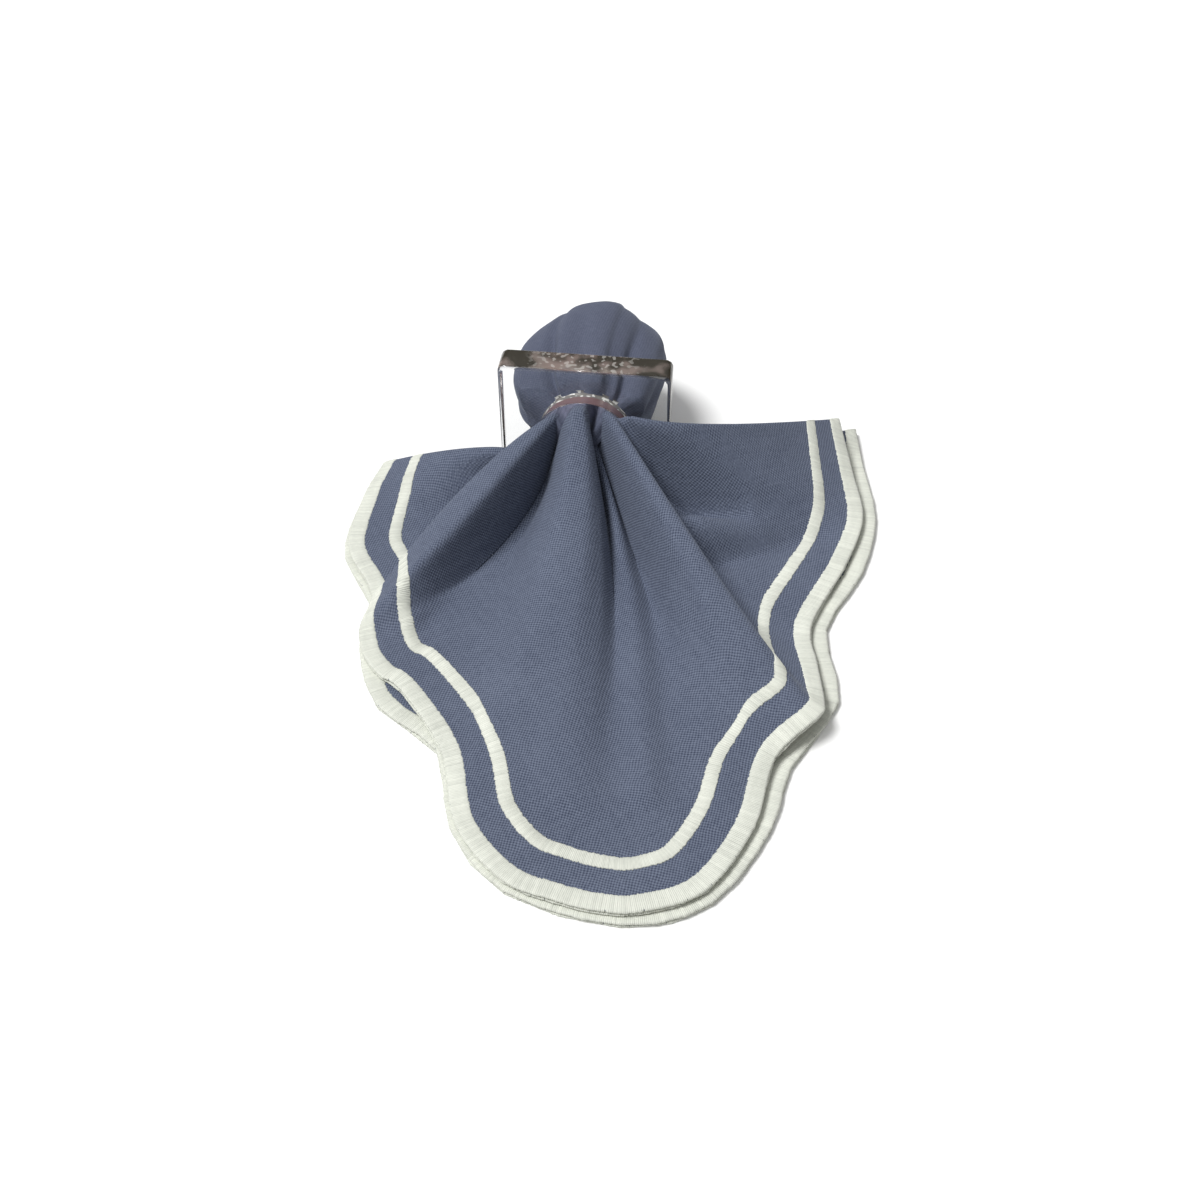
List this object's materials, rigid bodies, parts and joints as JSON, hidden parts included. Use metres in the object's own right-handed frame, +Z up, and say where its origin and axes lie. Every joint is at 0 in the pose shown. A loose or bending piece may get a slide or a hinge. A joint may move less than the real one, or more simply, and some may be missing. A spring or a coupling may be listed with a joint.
{
  "type": "cloth napkin in a ring",
  "caption": "Square cloth napkin folded in quarters, drawn through a clear square ring so that it fans out flat in front and puffs up behind.",
  "frame": {"origin": "centre of the ring's foot, on the surface that the napkin lies on", "axes": "+Z up out of the table, +Y from the open fan through the ring to the gathered bulb, +X to the right when the fan faces the viewer"},
  "size_m": [0.1823, 0.2509, 0.056],
  "materials": {
    "cloth": "matte woven, with a raised off-white border and stripe",
    "clear_ring": "polished clear acrylic"
  },
  "bodies": {
    "root": {"napkin": "cloth", "ring": "clear_ring"}
  },
  "joints": []
}
